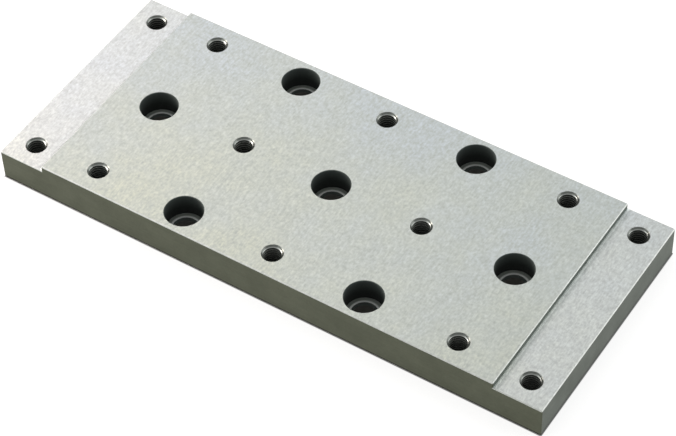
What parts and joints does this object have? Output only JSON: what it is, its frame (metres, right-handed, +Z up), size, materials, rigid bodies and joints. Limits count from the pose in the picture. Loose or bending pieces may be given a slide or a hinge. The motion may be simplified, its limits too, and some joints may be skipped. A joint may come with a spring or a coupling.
{
  "type": "fixture base plate",
  "caption": "Flat steel base plate with a raised pad, a lower ledge at each end, and a chessboard grid of counterbored and tapped screw holes.",
  "frame": {"origin": "centre of the underside", "axes": "+X along the plate, +Y across it to the back, +Z up out of the pad"},
  "size_m": [0.24, 0.1, 0.0165],
  "materials": {
    "ground_steel": "ground, fine matt grain"
  },
  "bodies": {
    "root": {"base_plate": "ground_steel"}
  },
  "joints": []
}
